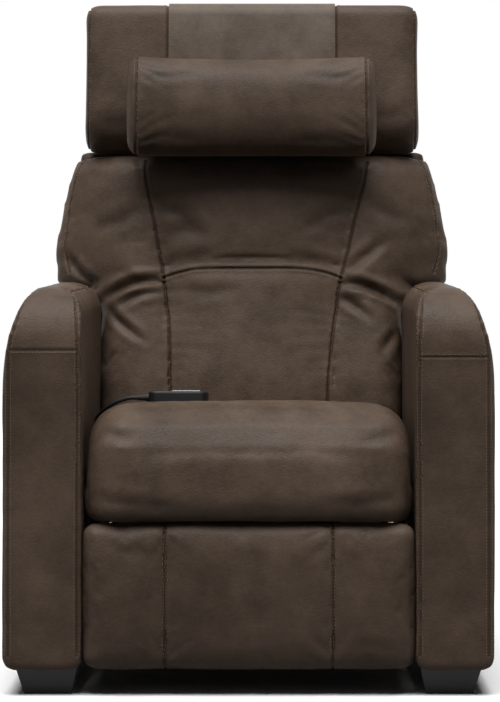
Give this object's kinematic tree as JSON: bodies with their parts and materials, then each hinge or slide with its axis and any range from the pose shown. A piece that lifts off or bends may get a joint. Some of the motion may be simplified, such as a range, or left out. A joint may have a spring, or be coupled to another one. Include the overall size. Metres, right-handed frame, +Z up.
{
  "type": "cinema recliner seat",
  "caption": "Powered leather recliner for a cinema: padded arms on feet, reclining back, sliding head pillow on a strap, tilting headrest, opening footrest and corded handset.",
  "frame": {"origin": "middle of the chair's width and depth, on the floor under the feet", "axes": "+Z up; the sitter faces -Y; +X to the right as seen from the front"},
  "size_m": [0.79, 0.8373, 1.165],
  "materials": {
    "leather": "semi-matte dark brown upholstery leather with a fine grain",
    "timber": "bare planed timber",
    "foot": "matte black moulded plastic",
    "black_plastic": "matte black moulded plastic",
    "zinc_steel": "zinc-plated steel",
    "silver_trim": "silver-coloured plastic trim",
    "rubber": "matte black rubber",
    "black_steel": "satin black paint on steel"
  },
  "bodies": {
    "base": {"arm_cover_left": "leather", "arm_cover_right": "leather", "arm_frame_left": "timber", "arm_frame_right": "timber", "foot_front_left": "foot", "foot_front_right": "foot", "foot_rear_left": "foot", "foot_rear_right": "foot", "base_rail_left": "black_steel", "base_rail_right": "black_steel", "base_front_tube": "black_steel", "base_rear_tube": "black_steel", "recline_drive": "black_plastic"},
    "rear_lift": {"rear_lift_link_left": "black_steel", "rear_lift_link_right": "black_steel", "lift_tube": "black_steel"},
    "front_lift": {"front_lift_link_left": "black_steel", "front_lift_link_right": "black_steel"},
    "recline_slider": {"recline_block": "zinc_steel"},
    "seat": {"seat_plate_left": "black_steel", "seat_plate_right": "black_steel", "seat_cross_tube": "black_steel", "seat_front_rail": "timber", "seat_rear_rail": "timber", "seat_spring_1": "zinc_steel", "seat_spring_2": "zinc_steel", "seat_spring_3": "zinc_steel", "seat_cushion": "leather", "footrest_drive": "black_plastic", "cord_gland": "black_plastic", "handset_body": "black_plastic", "handset_keypad": "silver_trim", "handset_boot": "rubber", "handset_cord": "rubber"},
    "footrest_slider": {"footrest_block": "zinc_steel"},
    "drive_links": {"drive_link_left": "black_steel", "drive_link_right": "black_steel", "footrest_tube": "black_steel"},
    "front_links": {"front_ottoman_link_left": "black_steel", "front_ottoman_link_right": "black_steel"},
    "upper_links": {"upper_ottoman_link_left": "black_steel", "upper_ottoman_link_right": "black_steel"},
    "lower_links": {"lower_ottoman_link_left": "black_steel", "lower_ottoman_link_right": "black_steel"},
    "footrest": {"footrest_board": "timber", "footrest_pad": "leather"},
    "back": {"back_bracket_left": "black_steel", "back_bracket_right": "black_steel", "back_board": "timber", "back_cushion": "leather", "back_shell": "leather", "headrest_hinge": "zinc_steel"},
    "headrest": {"headrest_cushion": "leather", "pillow_strap": "leather"},
    "pillow": {"head_pillow": "leather"},
    "counterweight": {"strap_counterweight": "leather"},
    "button_upper_front": {"button_upper_front": "rubber"},
    "button_upper_rear": {"button_upper_rear": "rubber"},
    "button_lower_front": {"button_lower_front": "rubber"},
    "button_lower_rear": {"button_lower_rear": "rubber"}
  },
  "joints": [
    {"name": "recline", "type": "hinge", "parent": "base", "child": "rear_lift", "pos_m": [0, 0.084, 0.11], "axis": [1, 0, 0], "range_deg": [0, 44]},
    {"name": "front_lift_turn", "type": "hinge", "parent": "base", "child": "front_lift", "pos_m": [0, -0.226, 0.11], "axis": [1, 0, 0], "range_deg": [0, 44]},
    {"name": "seat_turn", "type": "hinge", "parent": "rear_lift", "child": "seat", "pos_m": [0, 0.14019, 0.24908], "axis": [-1, 0, 0], "range_deg": [0, 44]},
    {"name": "back_turn", "type": "hinge", "parent": "seat", "child": "back", "pos_m": [0, 0.194, 0.3], "axis": [-1, 0, 0], "range_deg": [0, 42]},
    {"name": "recline_block_slide", "type": "slide", "parent": "base", "child": "recline_slider", "axis": [0, 1, 0], "range_m": [0, 0.0286]},
    {"name": "footrest_turn", "type": "hinge", "parent": "seat", "child": "drive_links", "pos_m": [0, -0.241, 0.215], "axis": [-1, 0, 0], "range_deg": [0, 95]},
    {"name": "front_link_turn", "type": "hinge", "parent": "seat", "child": "front_links", "pos_m": [0, -0.28434, 0.26997], "axis": [-1, 0, 0], "range_deg": [0, 95]},
    {"name": "upper_link_turn", "type": "hinge", "parent": "drive_links", "child": "upper_links", "pos_m": [0, -0.20218, 0.07011], "axis": [1, 0, 0], "range_deg": [0, 95]},
    {"name": "lower_link_turn", "type": "hinge", "parent": "front_links", "child": "lower_links", "pos_m": [0, -0.22999, 0.06713], "axis": [1, 0, 0], "range_deg": [0, 95]},
    {"name": "footrest_panel_turn", "type": "hinge", "parent": "upper_links", "child": "footrest", "pos_m": [0, -0.344, 0.25], "axis": [-1, 0, 0], "range_deg": [0, 95]},
    {"name": "footrest_block_slide", "type": "slide", "parent": "seat", "child": "footrest_slider", "axis": [0, -1, 0], "range_m": [0, 0.0561]},
    {"name": "headrest_tilt", "type": "hinge", "parent": "back", "child": "headrest", "pos_m": [0, 0.30072, 0.95118], "axis": [1, 0, 0], "range_deg": [0, 15]},
    {"name": "pillow_slide", "type": "slide", "parent": "headrest", "child": "pillow", "axis": [0, 0.225, 0.9744], "range_m": [0, 0.08]},
    {"name": "counterweight_slide", "type": "slide", "parent": "headrest", "child": "counterweight", "axis": [0, -0.225, -0.9744], "range_m": [0, 0.08]},
    {"name": "press_upper_front", "type": "slide", "parent": "seat", "child": "button_upper_front", "axis": [0, -0.061, -0.9981], "range_m": [0, 0.001], "stiffness_N_per_m": 600, "springref_m": -0.0005},
    {"name": "press_upper_rear", "type": "slide", "parent": "seat", "child": "button_upper_rear", "axis": [0, -0.061, -0.9981], "range_m": [0, 0.001], "stiffness_N_per_m": 600, "springref_m": -0.0005},
    {"name": "press_lower_front", "type": "slide", "parent": "seat", "child": "button_lower_front", "axis": [0, -0.061, -0.9981], "range_m": [0, 0.001], "stiffness_N_per_m": 600, "springref_m": -0.0005},
    {"name": "press_lower_rear", "type": "slide", "parent": "seat", "child": "button_lower_rear", "axis": [0, -0.061, -0.9981], "range_m": [0, 0.001], "stiffness_N_per_m": 600, "springref_m": -0.0005}
  ],
  "couplings": [
    {"joint": "front_lift_turn", "follows": "recline", "ratio": 1},
    {"joint": "seat_turn", "follows": "recline", "ratio": 1},
    {"joint": "back_turn", "follows": "recline", "ratio": 0.9545},
    {"joint": "recline_block_slide", "follows": "recline", "m_per_rad": 0.03707},
    {"joint": "front_link_turn", "follows": "footrest_turn", "ratio": 1},
    {"joint": "upper_link_turn", "follows": "footrest_turn", "ratio": 1},
    {"joint": "lower_link_turn", "follows": "footrest_turn", "ratio": 1},
    {"joint": "footrest_panel_turn", "follows": "footrest_turn", "ratio": 1},
    {"joint": "footrest_block_slide", "follows": "footrest_turn", "m_per_rad": 0.03379},
    {"joint": "counterweight_slide", "follows": "pillow_slide", "ratio": 1}
  ]
}
